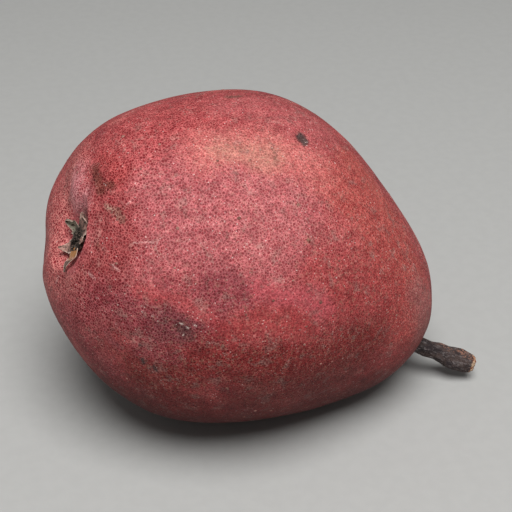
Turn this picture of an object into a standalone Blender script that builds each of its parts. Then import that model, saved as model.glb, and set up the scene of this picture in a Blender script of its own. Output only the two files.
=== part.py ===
"""A red pear lying on its side.

Three pieces: the fruit (flesh and skin in one), its woody stem and its dried
calyx. Each is first shaped in the fruit's own frame, in millimetres: `along`
runs down the core from the calyx end to the stem end, `side` across it and
`lift` upwards. The fruit is then pitched until it rests on its flank, cut to
a small flat spot and set down on z = 0.
"""

import math
import random

import bmesh
import bpy
import numpy as np

MM = 0.001
GAP = 0.3

# How the fruit lies: the core falls towards the stem by this much.
CORE_PITCH_DEG = 28.4
FLAT_DEPTH = 0.65

# The fruit's outline from the calyx end to the stem end, in millimetres. Each
# station is (along, radius, side, lift): a round cross-section and where its
# centre stands from the line between calyx and stem, because the fruit grew
# fuller on one side of its core.
OUTLINE = (
    (1.6, 0.0, 6.6, 3.0),
    (1.9, 13.0, 6.6, 3.0),
    (5.2, 19.9, 6.6, 2.9),
    (12.5, 27.4, 6.7, 2.2),
    (24.5, 34.9, 7.3, 1.9),
    (37.0, 38.9, 8.0, 2.2),
    (51.0, 37.5, 7.7, 2.8),
    (64.0, 32.0, 6.4, 3.3),
    (75.5, 25.5, 5.0, 3.4),
    (86.0, 17.9, 4.2, 3.4),
    (93.4, 8.7, 4.1, 3.4),
    (97.0, 0.0, 4.1, 3.4),
)
FRUIT_SIDES = 64
FLANK_FROM = 5.2
FLANK_TO = 88.0
FLANK_RINGS = 27

# The calyx basin: a flat-floored pit with a steep lip on the side that the
# fruit's shoulder overhangs, and a long easy slope on the other.
CALYX_CENTRE = (-3.6, 1.9)
CALYX_RINGS = (17.2, 14.8, 12.6, 10.6, 9.0, 7.8, 7.0, 6.3, 5.6, 4.8, 4.0, 3.0, 1.7)
BASIN_FLOOR = 5.3
LIP_TURN_DEG = 168.0
STEEP_WALL = (4.5, 6.9)
EASY_WALL = (3.4, 11.0)

# The basin's mouth is stretched towards this turn, by this much.
STRETCH_TURN_DEG = 112.0
STRETCH_SPREAD_DEG = 34.0
STRETCH = 1.3

# Five soft lobes round the basin, where the flower's parts once joined.
LOBE_COUNT = 5
LOBE_HEIGHT = 0.35
LOBE_RADIUS = 14.0
LOBE_SPREAD = 6.0
LOBE_TURN_DEG = -24.0

# Uneven growth of the face round the basin: (side, lift, height, reach).
FACE_SWELLINGS = (
    (12.5, -11.0, -1.1, 7.0),
    (21.0, 4.0, 0.7, 9.0),
)

# The stem's socket, a plain hole round its root, and the crease at its mouth.
STEM_CENTRE = (-1.8, 0.2)
STEM_RINGS = (12.4, 10.2, 8.2, 6.6, 5.4, 4.5, 3.8, 3.2, 2.75)
STEM_RINGS_OUTER = 16.0
CREASE_DEPTH = 0.9
CREASE_SPREAD = 2.6
SOCKET_MOUTH = 93.6
SOCKET_RADIUS = 2.35
SOCKET_DEPTH = 3.2

# Broad swellings of the flank: (along, turn in degrees, height, reach along
# the core, reach round it). A negative height is a flat or a hollow.
SWELLINGS = (
    (16.0, 80.0, -0.6, 9.0, 12.0),
    (27.0, 175.0, 0.45, 17.0, 6.0),
    (34.0, 205.0, -0.4, 18.0, 9.0),
    (52.0, 60.0, -0.35, 14.0, 14.0),
    (60.0, 330.0, 0.5, 16.0, 14.0),
    (20.0, 300.0, -0.4, 12.0, 14.0),
    (44.0, 20.0, 0.4, 15.0, 12.0),
)
WAVE_SEED = 11
WAVE_COUNT = 7
WAVE_HEIGHT = 0.07

# The stem's middle line, as (along, side, lift), and its radius at even steps.
STEM_LINE = (
    (SOCKET_MOUTH - SOCKET_DEPTH + GAP, *STEM_CENTRE),
    (94.6, *STEM_CENTRE),
    (99.6, -2.9, 0.4),
    (105.2, -4.4, 0.9),
    (109.4, -5.8, 1.7),
)
STEM_RADII = (1.95, 1.98, 2.0, 2.15, 2.35, 2.65, 2.8, 2.45)
STEM_SIDES = 18
STEM_STEPS = 30
STEM_LUMP = 0.11
STEM_SEED = 5
BREAK_SLOPE = 0.28
BREAK_ROUGHNESS = 0.22

# The dried calyx: a shallow cup with stamen stubs, and five curled sepals.
CUP_FLOOR = BASIN_FLOOR - GAP
CUP_PROFILE = (
    (0.0, 0.0), (2.1, 0.0), (2.8, 0.4), (3.0, 1.0), (2.8, 1.5), (2.1, 1.4), (1.5, 0.9), (0.0, 0.8),
)
CUP_SIDES = 20
STAMEN_COUNT = 11
STAMEN_RING = 1.25
STAMEN_LENGTH = 1.7
STAMEN_RADIUS = 0.34
STAMEN_SIDES = 6
CALYX_SEED = 3

# Each sepal: root turn, tip turn (degrees), tip distance from the calyx's
# centre, widest half-width, extra rise of its tip off the wall, curl of edges.
SEPALS = (
    (14.0, -2.0, 6.3, 1.10, 0.5, 0.45),
    (86.0, 80.0, 6.3, 1.40, 0.2, 0.35),
    (140.0, 144.0, 4.3, 0.85, 0.2, 0.20),
    (220.0, 224.0, 7.2, 1.10, 0.0, 0.35),
    (294.0, 302.0, 5.6, 1.20, 0.8, 0.40),
)
SEPAL_ROOT = 1.9
SEPAL_STEPS = 9
SEPAL_THICKNESS = 0.62
SEPAL_CLEARANCE = 0.75
SEPAL_TIP = 0.22
SEPAL_REACH_AHEAD = 0.8

SKIN_RED = (0.30, 0.065, 0.06, 1.0)
BARK_BROWN = (0.055, 0.037, 0.030, 1.0)
DRY_SEPAL = (0.19, 0.115, 0.07, 1.0)


def clear_scene():
    """Empties the scene."""
    for obj in list(bpy.data.objects):
        bpy.data.objects.remove(obj, do_unlink=True)


def smooth_curve(stations, samples, end_slopes=None):
    """Returns points along a cubic curve through the stations.

    The first two columns of the stations set the curve's pace. With
    end_slopes, the curve leaves its first and reaches its last station in
    those directions; without, it starts and ends along its first and last
    stretch.
    """
    points = np.array(stations, dtype=float)
    steps = np.linalg.norm(np.diff(points, axis=0), axis=1)
    knots = np.concatenate([[0.0], np.cumsum(steps)])
    count = len(points)
    matrix = np.eye(count)
    target = np.zeros_like(points)
    rises = np.diff(points, axis=0) / steps[:, None]
    for i in range(1, count - 1):
        before, after = 1.0 / steps[i - 1], 1.0 / steps[i]
        matrix[i, i - 1:i + 2] = before, 2.0 * (before + after), after
        target[i] = 3.0 * (rises[i - 1] * before + rises[i] * after)
    target[0], target[-1] = end_slopes if end_slopes is not None else (rises[0], rises[-1])
    slopes = np.linalg.solve(matrix, target)
    places = np.linspace(0.0, knots[-1], samples)
    spans = np.clip(np.searchsorted(knots, places, side="right") - 1, 0, count - 2)
    width = steps[spans][:, None]
    t = (places - knots[spans])[:, None] / width
    return (
        points[spans] * (1.0 + 2.0 * t) * (1.0 - t) ** 2
        + points[spans + 1] * t * t * (3.0 - 2.0 * t)
        + slopes[spans] * width * t * (1.0 - t) ** 2
        + slopes[spans + 1] * width * t * t * (t - 1.0)
    )


def ease(t):
    """Returns 0 below t = 0 and 1 above t = 1, with a smooth rise between."""
    t = np.clip(t, 0.0, 1.0)
    return t * t * (3.0 - 2.0 * t)


def share_between(value, start, end):
    """Returns how far a value has come from start to end, held within 0 and 1."""
    return float(np.clip((value - start) / (end - start), 0.0, 1.0))


class Fruit:
    """The fruit's outer surface, as formulas in its own frame."""

    def __init__(self):
        ends = (np.array((0.0, 1.0, 0.0, 0.0)), np.array((0.0, -1.0, 0.0, 0.0)))
        self.outline = smooth_curve(OUTLINE, 600, ends)
        widest = int(np.argmax(self.outline[:, 1]))
        self.calyx_half = self.outline[:widest]
        self.stem_half = self.outline[:widest:-1]
        self.turns = np.arange(FRUIT_SIDES) * 2.0 * math.pi / FRUIT_SIDES

    def dome(self, side, lift, half, centre):
        """Returns how far along the plain rounded end lies at a place across the core."""
        distance = np.hypot(side - centre[0], lift - centre[1])
        return np.interp(distance, half[:, 1], half[:, 0])

    def calyx_end(self, radius, turn):
        """Returns the surface point at a distance and turn from the calyx's centre."""
        _, dome_radius, *dome_middle = OUTLINE[2]
        dome_centre = np.array(dome_middle)
        share = share_between(radius, STEEP_WALL[1], dome_radius)
        centre = np.array(CALYX_CENTRE) + (dome_centre - CALYX_CENTRE) * share
        side = centre[0] + radius * np.cos(turn)
        lift = centre[1] + radius * np.sin(turn)
        along = self.dome(side, lift, self.calyx_half, dome_centre)
        lobes = np.cos(LOBE_COUNT * (turn - math.radians(LOBE_TURN_DEG)))
        along = along - LOBE_HEIGHT * lobes * np.exp(-((radius - LOBE_RADIUS) / LOBE_SPREAD) ** 2)
        for place_side, place_lift, rise, reach in FACE_SWELLINGS:
            away = np.hypot(side - place_side, lift - place_lift) / reach
            along = along - rise * np.exp(-away ** 2)
        steep = 0.5 + 0.5 * np.cos(turn - math.radians(LIP_TURN_DEG))
        inner = EASY_WALL[0] + (STEEP_WALL[0] - EASY_WALL[0]) * steep
        outer = EASY_WALL[1] + (STEEP_WALL[1] - EASY_WALL[1]) * steep
        off = (turn - math.radians(STRETCH_TURN_DEG) + math.pi) % (2.0 * math.pi) - math.pi
        stretch = STRETCH * np.exp(-(off / math.radians(STRETCH_SPREAD_DEG)) ** 2)
        pit = ease((outer + stretch - radius) / (outer - inner))
        return along + (BASIN_FLOOR - along) * pit, side, lift

    def stem_end(self, radius, turn):
        """Returns the surface point at a distance and turn from the stem."""
        dome_centre = np.array(OUTLINE[-1][2:])
        share = share_between(radius, SOCKET_RADIUS, STEM_RINGS_OUTER)
        centre = np.array(STEM_CENTRE) + (dome_centre - STEM_CENTRE) * share
        side = centre[0] + radius * np.cos(turn)
        lift = centre[1] + radius * np.sin(turn)
        along = self.dome(side, lift, self.stem_half, dome_centre)
        crease = CREASE_DEPTH * np.exp(-((radius - SOCKET_RADIUS) / CREASE_SPREAD) ** 2)
        return along - crease, side, lift

    def rings(self):
        """Returns the surface as a grid of points: ring by ring from calyx to stem."""
        grid = []
        for radius in reversed(CALYX_RINGS):
            grid.append(self.calyx_end(radius, self.turns))
        first = np.searchsorted(self.outline[:, 0], FLANK_FROM)
        last = np.searchsorted(self.outline[:, 0], FLANK_TO)
        for row in np.linspace(first, last, FLANK_RINGS).astype(int):
            along, radius, side, lift = self.outline[row]
            grid.append((
                np.full(FRUIT_SIDES, along),
                side + radius * np.cos(self.turns),
                lift + radius * np.sin(self.turns),
            ))
        for radius in STEM_RINGS:
            grid.append(self.stem_end(radius, self.turns))
        points = np.array([np.stack(ring, axis=1) for ring in grid])
        return points + outward(points) * self.relief(points)[..., None]

    def relief(self, points):
        """Returns the height of the swellings and soft waves at each point."""
        along = points[..., 0]
        centre_side = np.interp(along, self.outline[:, 0], self.outline[:, 2])
        centre_lift = np.interp(along, self.outline[:, 0], self.outline[:, 3])
        girth = np.interp(along, self.outline[:, 0], self.outline[:, 1])
        turn = np.arctan2(points[..., 2] - centre_lift, points[..., 1] - centre_side)
        height = np.zeros_like(along)
        for place, turn_deg, rise, reach, reach_round in SWELLINGS:
            off = (turn - math.radians(turn_deg) + math.pi) % (2.0 * math.pi) - math.pi
            height += rise * np.exp(-((along - place) / reach) ** 2 - (off * girth / reach_round) ** 2)
        draw = random.Random(WAVE_SEED)
        for _ in range(WAVE_COUNT):
            way = np.array([draw.gauss(0.0, 1.0) for _ in range(3)])
            way *= 2.0 * math.pi / draw.uniform(22.0, 38.0) / np.linalg.norm(way)
            height += WAVE_HEIGHT * np.sin(points @ way + draw.uniform(0.0, 6.3))
        return height * ease((along - 4.0) / 8.0) * ease((90.0 - along) / 8.0)


def outward(points):
    """Returns the unit normals of a grid of rings, pointing out of the fruit."""
    down_core = np.gradient(points, axis=0)
    around = np.roll(points, -1, axis=1) - np.roll(points, 1, axis=1)
    normals = np.cross(around, down_core)
    return normals / np.linalg.norm(normals, axis=-1, keepdims=True)


def to_world(points):
    """Turns points of the fruit's own frame to the pitch at which the pear lies."""
    pitch = math.radians(CORE_PITCH_DEG)
    points = np.asarray(points, dtype=float)
    along, side, lift = points[..., 0], points[..., 1], points[..., 2]
    x = along * math.cos(pitch) + lift * math.sin(pitch)
    z = lift * math.cos(pitch) - along * math.sin(pitch)
    return np.stack([x, side, z], axis=-1)


def loft_faces(ring_count, sides, start=0):
    """Returns the four-sided faces between rings of vertices."""
    faces = []
    for ring in range(ring_count - 1):
        for i in range(sides):
            j = (i + 1) % sides
            low, high = start + ring * sides, start + (ring + 1) * sides
            faces.append((low + i, high + i, high + j, low + j))
    return faces


def capped_loft(rings, first_point, last_point):
    """Returns vertices and faces of a loft closed by a fan at each end.

    Seen along its path, each ring runs the way a right-handed screw turns.
    """
    rings = np.asarray(rings, dtype=float)
    ring_count, sides = rings.shape[:2]
    vertices = np.concatenate([rings.reshape(-1, 3), [first_point], [last_point]])
    faces = loft_faces(ring_count, sides)
    first, last = ring_count * sides, ring_count * sides + 1
    final = (ring_count - 1) * sides
    for i in range(sides):
        j = (i + 1) % sides
        faces.append((first, i, j))
        faces.append((last, final + j, final + i))
    return vertices, faces


def make_material(name, colour, roughness):
    """Returns a plain surface of one colour."""
    material = bpy.data.materials.new(name)
    material.use_nodes = True
    shader = material.node_tree.nodes["Principled BSDF"]
    shader.inputs["Base Color"].default_value = colour
    shader.inputs["Roughness"].default_value = roughness
    shader.inputs["Metallic"].default_value = 0.0
    return material


def make_object(name, vertices, faces, material=None, collection=None):
    """Makes a closed mesh object from vertices in metres, normals outwards."""
    mesh = bpy.data.meshes.new(name)
    mesh.from_pydata([tuple(v) for v in vertices], [], faces)
    obj = bpy.data.objects.new(name, mesh)
    (collection or bpy.context.scene.collection).objects.link(obj)
    if material is not None:
        mesh.materials.append(material)
    work = bmesh.new()
    work.from_mesh(mesh)
    bmesh.ops.recalc_face_normals(work, faces=work.faces)
    work.to_mesh(mesh)
    work.free()
    mesh.shade_smooth()
    mesh.set_sharp_from_angle(angle=math.radians(50.0))
    return obj


def fruit_shape(fruit):
    """Returns the fruit's vertices and faces in its own frame."""
    rings = fruit.rings()
    mouth = rings[-1]
    socket = []
    for drop, radius in ((0.0, SOCKET_RADIUS), (SOCKET_DEPTH, SOCKET_RADIUS)):
        ring = np.stack([
            np.full(FRUIT_SIDES, SOCKET_MOUTH - drop),
            STEM_CENTRE[0] + radius * np.cos(fruit.turns),
            STEM_CENTRE[1] + radius * np.sin(fruit.turns),
        ], axis=1)
        socket.append(ring)
    socket[0][:, 0] = mouth[:, 0] - 0.2
    rings = np.concatenate([rings, socket])
    calyx_floor = (BASIN_FLOOR, *CALYX_CENTRE)
    socket_floor = (SOCKET_MOUTH - SOCKET_DEPTH, *STEM_CENTRE)
    return capped_loft(rings, calyx_floor, socket_floor)


def stem_shape():
    """Returns the stem's vertices and faces in the fruit's frame."""
    line = smooth_curve(STEM_LINE, STEM_STEPS)
    radii = np.interp(np.linspace(0, 1, STEM_STEPS), np.linspace(0, 1, len(STEM_RADII)), STEM_RADII)
    directions = np.gradient(line, axis=0)
    directions /= np.linalg.norm(directions, axis=1, keepdims=True)
    draw = random.Random(STEM_SEED)
    turns = np.arange(STEM_SIDES) * 2.0 * math.pi / STEM_SIDES
    lumps = [(draw.randint(1, 4), draw.uniform(0.0, 6.3), draw.uniform(0.25, 0.9), draw.uniform(0.0, 6.3))
             for _ in range(7)]
    rings = []
    for step, (centre, way, radius) in enumerate(zip(line, directions, radii)):
        across = np.cross(way, (0.0, 0.0, 1.0))
        across /= np.linalg.norm(across)
        upward = np.cross(across, way)
        out_of_socket = float(ease((centre[0] - SOCKET_MOUTH - 0.4) / 1.5))
        lump = sum(np.sin(n * turns + a) * math.sin(pace * step + b) for n, a, pace, b in lumps)
        reach = radius + STEM_LUMP * lump * out_of_socket
        ring = centre + np.outer(reach * np.cos(turns), across) + np.outer(reach * np.sin(turns), upward)
        if step == STEM_STEPS - 1:
            ragged = [draw.uniform(-BREAK_ROUGHNESS, BREAK_ROUGHNESS) for _ in range(STEM_SIDES)]
            ring += np.outer(BREAK_SLOPE * reach * np.cos(turns) + ragged, way)
        rings.append(ring)
    end = line[-1] + directions[-1] * 0.25
    inner = rings[-1] + (end - rings[-1]) * 0.5 + directions[-1] * 0.1
    return capped_loft(rings + [inner], line[0], end)


def sepal_shape(fruit, root_deg, tip_deg, tip_radius, half_width, rise, curl):
    """Returns one sepal, a curled blade that follows the basin's wall."""
    stations = np.linspace(0.0, 1.0, SEPAL_STEPS)
    middle = []
    for t in stations:
        turn = math.radians(root_deg + (tip_deg - root_deg) * t * t)
        radius = SEPAL_ROOT + (tip_radius - SEPAL_ROOT) * t
        wall = min(fruit.calyx_end(radius + SEPAL_REACH_AHEAD * k, turn)[0] for k in (-0.5, 0.0, 0.5, 1.0))
        height = wall - SEPAL_CLEARANCE - rise * t * t
        middle.append((min(height, CUP_FLOOR - 1.2), CALYX_CENTRE[0] + radius * math.cos(turn),
                       CALYX_CENTRE[1] + radius * math.sin(turn)))
    middle = np.array(middle)
    ways = np.gradient(middle, axis=0)
    ways /= np.linalg.norm(ways, axis=1, keepdims=True)
    rings = []
    for t, centre, way in zip(stations, middle, ways):
        across = np.cross(way, (-1.0, 0.0, 0.0))
        across /= np.linalg.norm(across)
        face = np.cross(across, way)
        width = half_width * (1.0 - t) ** 0.7 * (1.0 + 1.2 * t) + SEPAL_TIP
        places = np.array((-1.0, -0.36, 0.36, 1.0))
        edge_curl = curl * places ** 2 * ease(2.5 * t)
        half = SEPAL_THICKNESS / 2.0
        top = [centre + across * p * width + face * (c + half) for p, c in zip(places, edge_curl)]
        under = [centre + across * p * width + face * (c - half) for p, c in zip(places, edge_curl)]
        rings.append(top + under[::-1])
    first = np.mean(rings[0], axis=0)
    last = np.mean(rings[-1], axis=0) + ways[-1] * 0.15
    return capped_loft(rings, first, last)


def stamen_shape(draw, turn):
    """Returns one stamen stub, a short leaning rod."""
    lean = draw.uniform(0.1, 0.5)
    length = STAMEN_LENGTH * draw.uniform(0.6, 1.1)
    ring_radius = STAMEN_RING * draw.uniform(0.3, 1.0)
    root = np.array((
        CUP_FLOOR - 0.4,
        CALYX_CENTRE[0] + ring_radius * math.cos(turn),
        CALYX_CENTRE[1] + ring_radius * math.sin(turn),
    ))
    way = np.array((-1.0, lean * math.cos(turn), lean * math.sin(turn)))
    way /= np.linalg.norm(way)
    across = np.cross(way, (0.0, 0.3, 1.0))
    across /= np.linalg.norm(across)
    upward = np.cross(across, way)
    turns = np.arange(STAMEN_SIDES) * 2.0 * math.pi / STAMEN_SIDES
    rings = []
    for t, share in ((0.0, 1.0), (0.6, 0.8), (1.0, 0.95)):
        reach = STAMEN_RADIUS * share
        rings.append(root + way * length * t + np.outer(reach * np.cos(turns), across)
                     + np.outer(reach * np.sin(turns), upward))
    return capped_loft(rings, root, root + way * (length + 0.1))


def cup_shape():
    """Returns the calyx's cup, turned about its middle."""
    turns = np.arange(CUP_SIDES) * 2.0 * math.pi / CUP_SIDES
    rings = []
    for radius, height in CUP_PROFILE[1:-1]:
        rings.append(np.stack([
            np.full(CUP_SIDES, CUP_FLOOR - height),
            CALYX_CENTRE[0] + radius * np.cos(turns),
            CALYX_CENTRE[1] + radius * np.sin(turns),
        ], axis=1))
    low = (CUP_FLOOR - CUP_PROFILE[0][1], *CALYX_CENTRE)
    high = (CUP_FLOOR - CUP_PROFILE[-1][1], *CALYX_CENTRE)
    return capped_loft(rings, low, high)


def build_calyx(fruit, place, material):
    """Makes the calyx: sepals and stamens joined to the cup in one solid."""
    parts = bpy.data.collections.new("calyx_parts")
    bpy.context.scene.collection.children.link(parts)
    draw = random.Random(CALYX_SEED)
    shapes = [sepal_shape(fruit, *sepal) for sepal in SEPALS]
    for number in range(STAMEN_COUNT):
        shapes.append(stamen_shape(draw, number * 2.4))
    for number, (vertices, faces) in enumerate(shapes):
        make_object(f"calyx_part_{number}", place(vertices), faces, collection=parts)
    vertices, faces = cup_shape()
    calyx = make_object("calyx", place(vertices), faces, material)
    join = calyx.modifiers.new("join", "BOOLEAN")
    join.operation = "UNION"
    join.operand_type = "COLLECTION"
    join.collection = parts
    join.solver = "EXACT"
    evaluated = calyx.evaluated_get(bpy.context.evaluated_depsgraph_get())
    joined = bpy.data.meshes.new_from_object(evaluated)
    calyx.modifiers.remove(join)
    calyx.data = joined
    for obj in list(parts.objects):
        bpy.data.objects.remove(obj, do_unlink=True)
    bpy.data.collections.remove(parts)
    return calyx


def cut_flat(obj, height):
    """Cuts off what lies below a height and closes the cut with one flat face."""
    work = bmesh.new()
    work.from_mesh(obj.data)
    geometry = list(work.verts) + list(work.edges) + list(work.faces)
    bmesh.ops.bisect_plane(work, geom=geometry, plane_co=(0, 0, height), plane_no=(0, 0, -1), clear_outer=True)
    rim = [edge for edge in work.edges if edge.is_boundary]
    for edge in rim:
        for vertex in edge.verts:
            vertex.co.z = height
    bmesh.ops.remove_doubles(work, verts=list({v for edge in rim for v in edge.verts}), dist=0.0002)
    rim = [edge for edge in work.edges if edge.is_boundary]
    bmesh.ops.contextual_create(work, geom=rim)
    bmesh.ops.recalc_face_normals(work, faces=work.faces)
    work.to_mesh(obj.data)
    work.free()
    obj.data.shade_smooth()
    obj.data.set_sharp_from_angle(angle=math.radians(50.0))


def main():
    """Builds the pear and sets it down with its footprint's middle on the origin."""
    clear_scene()
    fruit = Fruit()
    fruit_vertices, fruit_faces = fruit_shape(fruit)
    stem_vertices, stem_faces = stem_shape()
    lying_fruit, lying_stem = to_world(fruit_vertices), to_world(stem_vertices)
    low = np.minimum(lying_fruit.min(axis=0), lying_stem.min(axis=0))
    high = np.maximum(lying_fruit.max(axis=0), lying_stem.max(axis=0))
    floor = lying_fruit[:, 2].min() + FLAT_DEPTH
    origin = np.array([(low[0] + high[0]) / 2.0, (low[1] + high[1]) / 2.0, floor])

    def place(points):
        return (to_world(points) - origin) * MM

    skin = make_material("red_skin", SKIN_RED, 0.48)
    bark = make_material("bark", BARK_BROWN, 0.85)
    dry = make_material("dry_calyx", DRY_SEPAL, 0.85)
    fruit_object = make_object("fruit", place(fruit_vertices), fruit_faces, skin)
    cut_flat(fruit_object, 0.0)
    make_object("stem", place(stem_vertices), stem_faces, bark)
    build_calyx(fruit, place, dry)


main()
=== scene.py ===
"""The looks of a red pear lying on its side.

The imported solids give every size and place, and this script dresses them: the
fruit gets its fine relief and its dotted skin, the stem its bark and broken
end, and the calyx its dried sepals and stamens. Lengths are in metres unless a
name says otherwise. A mark that the photograph shows is named by its pixel
there, and is laid on the fruit along that pixel's line of sight.
"""

import logging
import math
from collections.abc import Callable
from dataclasses import dataclass
from enum import Enum

import bmesh
import bpy
import numpy as np
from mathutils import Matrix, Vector
from mathutils.bvhtree import BVHTree


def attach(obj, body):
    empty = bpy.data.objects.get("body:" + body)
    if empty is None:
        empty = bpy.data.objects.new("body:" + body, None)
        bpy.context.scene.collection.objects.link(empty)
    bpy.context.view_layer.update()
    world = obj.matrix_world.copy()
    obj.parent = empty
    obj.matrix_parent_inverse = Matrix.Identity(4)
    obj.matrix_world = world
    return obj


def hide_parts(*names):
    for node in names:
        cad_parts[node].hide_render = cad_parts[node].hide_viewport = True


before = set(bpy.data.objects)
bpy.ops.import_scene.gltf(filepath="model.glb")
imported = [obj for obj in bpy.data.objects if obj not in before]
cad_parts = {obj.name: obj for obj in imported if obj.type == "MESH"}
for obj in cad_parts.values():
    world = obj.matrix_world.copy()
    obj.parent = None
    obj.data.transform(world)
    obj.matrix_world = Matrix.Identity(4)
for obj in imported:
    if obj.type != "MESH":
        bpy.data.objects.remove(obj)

LOG = logging.getLogger("pear")
MM = 0.001
UP = Vector((0.0, 0.0, 1.0))
WELD = 0.01 * MM
FLAT_DEG, SHAPE_DEG = 25.0, 50.0
SEPAL_READINGS = ("across", "reach", "tint")
# The Mix node's sockets for colours have numbers, because their names repeat.
MIX_SHARE, MIX_FIRST, MIX_SECOND, MIX_RESULT = 0, 6, 7, 2

# A column and a row of the photograph, from the upper left corner.
Pixel = tuple[float, float]
# Where something sets in, and where it is complete.
Span = tuple[float, float]
# How wide the bends of an outline are, and how far they reach.
Bend = tuple[float, float]
# Linear red, green and blue.
Colour = tuple[float, float, float]
WHITE: Colour = (1.0, 1.0, 1.0)


def method(operation: str, reflected: bool = False) -> Callable[..., "Wire"]:
    """Makes a method of Wire from an operation.

    Args:
        operation: the Math or Vector Math operation.
        reflected: whether the wire comes after the other term.

    Returns:
        The method, which takes the operation's other term where it has one.
    """
    def apply(wire: "Wire", *others: object) -> "Wire":
        """Returns the result of the operation."""
        return wire.work(operation, *((*others, wire) if reflected else (wire, *others)))

    return apply


class Wire:
    """A node's output that takes part in Python sums.

    Sums on numbers add Math nodes, and sums on vectors add Vector Math nodes.
    """

    def __init__(self, board: "Board", socket: bpy.types.NodeSocket) -> None:
        """Holds an output that belongs to a board."""
        self.board = board
        self.socket = socket

    @staticmethod
    def _is_vector(term: object) -> bool:
        """Returns whether a term of a sum has three numbers."""
        if isinstance(term, Wire):
            return term.socket.type in {"VECTOR", "RGBA"}
        return not isinstance(term, (int, float))

    def work(self, operation: str, *terms: object) -> "Wire":
        """Adds the node for one operation.

        Args:
            operation: the Math or Vector Math operation.
            terms: wires, numbers or triples, in the node's order.

        Returns:
            The result.
        """
        vectors = [self._is_vector(term) for term in terms]
        inputs = dict(enumerate(terms))
        if not any(vectors):
            return self.board.wire("ShaderNodeMath", inputs, operation=operation)
        if operation == "MULTIPLY" and not all(vectors):
            vector, number = terms if vectors[0] else terms[::-1]
            operation, inputs = "SCALE", {"Vector": vector, "Scale": number}
        output = "Value" if operation in {"DOT_PRODUCT", "LENGTH", "DISTANCE"} else "Vector"
        return self.board.wire("ShaderNodeVectorMath", inputs, output, operation=operation)

    __add__, __radd__ = method("ADD"), method("ADD", reflected=True)
    __sub__, __rsub__ = method("SUBTRACT"), method("SUBTRACT", reflected=True)
    __mul__, __rmul__ = method("MULTIPLY"), method("MULTIPLY", reflected=True)
    __truediv__, __rtruediv__ = method("DIVIDE"), method("DIVIDE", reflected=True)
    __pow__, __rpow__ = method("POWER"), method("POWER", reflected=True)
    __abs__, sine, cosine = method("ABSOLUTE"), method("SINE"), method("COSINE")
    most, least = method("MAXIMUM"), method("MINIMUM")
    dot, distance, length = method("DOT_PRODUCT"), method("DISTANCE"), method("LENGTH")

    def clamped(self, low: float = 0.0, high: float = 1.0) -> "Wire":
        """Returns the value held between two limits."""
        return self.most(low).least(high)

    def between(self, start: float, end: float) -> "Wire":
        """Returns 0 at start and 1 at end, in either order, with a smooth rise and both kept beyond."""
        inputs = {"Value": self, "From Min": start, "From Max": end}
        return self.board.wire("ShaderNodeMapRange", inputs, "Result", interpolation_type="SMOOTHSTEP")


class Board:
    """A node tree that is drawn from Python."""

    def __init__(self, tree: bpy.types.NodeTree) -> None:
        """Takes the tree to draw on."""
        self.tree = tree

    def add(self, kind: str, inputs: dict | None = None, **settings: object) -> bpy.types.Node:
        """Adds one node, its settings first.

        Args:
            kind: the node's type.
            inputs: a value or a wire for each socket, by name or number.
            settings: the node's own properties.

        Returns:
            The node.
        """
        node = self.tree.nodes.new(kind)
        for name, value in settings.items():
            setattr(node, name, value)
        for key, value in (inputs or {}).items():
            socket = node.inputs[key]
            if isinstance(value, Wire):
                self.tree.links.new(value.socket, socket)
            elif socket.type == "RGBA":
                socket.default_value = (*value, 1.0)
            else:
                socket.default_value = value
        return node

    def wire(self, kind: str, inputs: dict | None = None, output: str | int = 0,
             **settings: object) -> Wire:
        """Adds one node and returns one of its outputs, by name or number."""
        return Wire(self, self.add(kind, inputs, **settings).outputs[output])

    def noise(self, place: Wire, size: float, detail: float = 2.0, roughness: float = 0.5) -> Wire:
        """Returns clouds about 0.5, whose patches are about one size across."""
        inputs = {"Vector": place, "Scale": 1.0 / size, "Detail": detail, "Roughness": roughness}
        return self.wire("ShaderNodeTexNoise", inputs)

    def stray(self, place: Wire, size: float, reach: float) -> Wire:
        """Returns a point pushed about by clouds, so that outlines get ragged.

        Args:
            place: the point.
            size: how wide the clouds' patches are.
            reach: how far the point is pushed at most.

        Returns:
            The pushed point.
        """
        inputs = {"Vector": place, "Scale": 1.0 / size, "Detail": 2.0}
        clouds = self.wire("ShaderNodeTexNoise", inputs, "Color")
        return place + (clouds - (0.5, 0.5, 0.5)) * (2.0 * reach)

    def cells(self, place: Wire, size: float, feature: str = "F1", output: str = "Distance") -> Wire:
        """Returns a reading of cells one size wide, with distances in cell widths."""
        inputs = {"Vector": place, "Scale": 1.0 / size}
        return self.wire("ShaderNodeTexVoronoi", inputs, output, feature=feature)

    def mix(self, share: object, first: object, second: object) -> Wire:
        """Returns the first colour with a share of the second, 0 to 1, mixed in."""
        inputs = {MIX_SHARE: share, MIX_FIRST: first, MIX_SECOND: second}
        return self.wire("ShaderNodeMix", inputs, MIX_RESULT, data_type="RGBA")

    def coated(self, base: object, *coats: tuple[object, object]) -> Wire:
        """Lays colours over one another.

        Args:
            base: the lowest colour.
            coats: the share and the colour of each coat above it, in order.

        Returns:
            The colour on top.
        """
        for share, colour in coats:
            base = self.mix(share, base, colour)
        return base

    def path_distance(self, place: Wire, path: list[Vector]) -> Wire:
        """Works out how far a point is from a path of one or more points.

        Args:
            place: the point.
            path: the path's points, in the same unit.

        Returns:
            The distance to the nearest stretch.
        """
        if len(path) == 1:
            return place.distance(path[0])
        nearest = None
        for start, end in zip(path, path[1:]):
            stretch = end - start
            offset = place - start
            share = (offset.dot(stretch) / stretch.length_squared).clamped()
            distance = (offset - share * stretch).length()
            nearest = distance if nearest is None else nearest.least(distance)
        return nearest


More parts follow.
